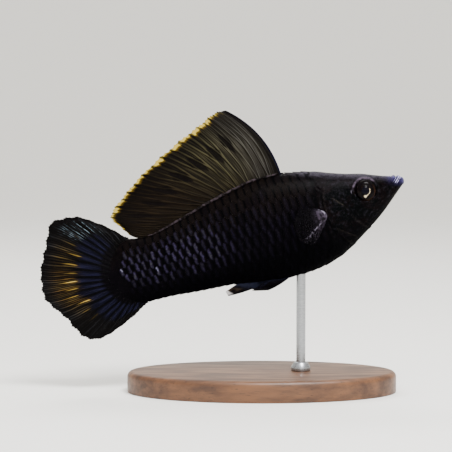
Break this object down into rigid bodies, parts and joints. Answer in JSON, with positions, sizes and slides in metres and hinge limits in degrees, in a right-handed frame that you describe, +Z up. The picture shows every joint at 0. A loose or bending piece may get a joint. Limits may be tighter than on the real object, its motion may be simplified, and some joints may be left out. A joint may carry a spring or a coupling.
{
  "type": "sailfin molly display model",
  "caption": "Still, life-size model of a male black sailfin molly swimming nose-up with its tall dorsal fin raised, on a rod over an oval wooden base.",
  "frame": {"origin": "centre of the stand base's flat underside", "axes": "+Z up, +X the way the fish faces, along the longest side of the model, +Y to the fish's left"},
  "size_m": [0.0866, 0.034, 0.0668],
  "materials": {
    "skin": "black scaled skin with a wet blue-violet sheen",
    "fin": "thin dark fin membrane over rays, olive and gold where light comes through",
    "eye": "wet, dark pupil in a brown and gold iris",
    "stand_wood": "satin walnut",
    "stand_metal": "satin"
  },
  "bodies": {
    "root": {"head": "skin", "lower_jaw": "skin", "gill_cover_left": "skin", "gill_cover_right": "skin", "trunk": "skin", "tail": "skin", "dorsal_fin": "fin", "caudal_fin": "fin", "anal_fin": "fin", "pectoral_fin_left": "fin", "pectoral_fin_right": "fin", "pelvic_fin_left": "fin", "pelvic_fin_right": "fin", "eye_left": "eye", "eye_right": "eye", "stand_base": "stand_wood", "stand_rod": "stand_metal", "stand_collar": "stand_metal"}
  },
  "joints": []
}
